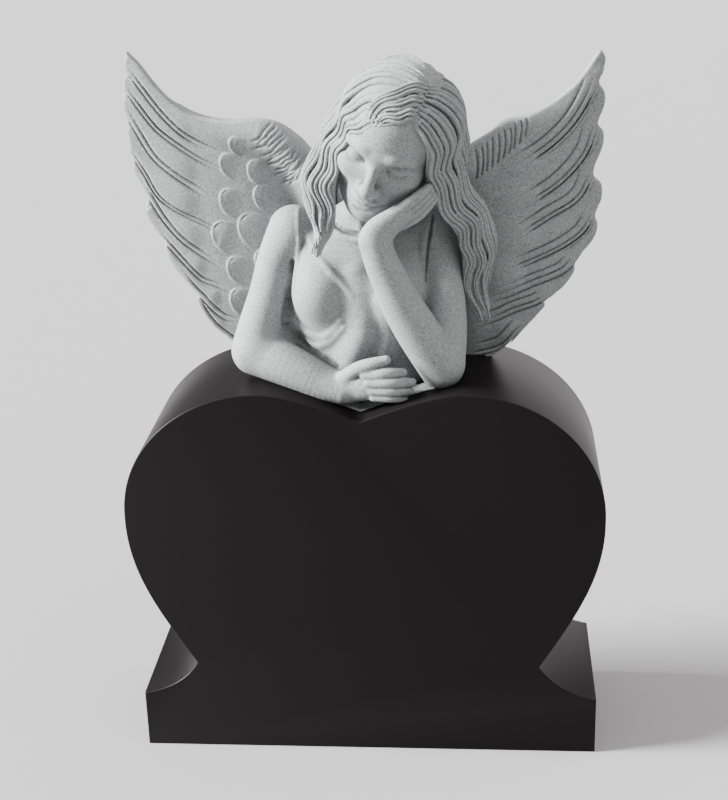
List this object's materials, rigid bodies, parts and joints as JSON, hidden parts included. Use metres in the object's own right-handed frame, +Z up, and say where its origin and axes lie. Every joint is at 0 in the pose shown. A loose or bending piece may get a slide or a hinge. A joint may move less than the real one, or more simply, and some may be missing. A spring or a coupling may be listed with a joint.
{
  "type": "angel headstone",
  "caption": "Polished heart-shaped headstone on a flared foot, with a half-length winged angel leaning on its top, cheek in hand.",
  "frame": {"origin": "centre of the stone's flat underside", "axes": "+Z up, -Y towards the viewer at the polished front, +X to the viewer's right"},
  "size_m": [0.6108, 0.205, 0.9018],
  "materials": {
    "dark_granite": "polished",
    "grey_granite": "fine matte tooled"
  },
  "bodies": {
    "root": {"heart_stone": "dark_granite", "angel": "grey_granite"}
  },
  "joints": []
}
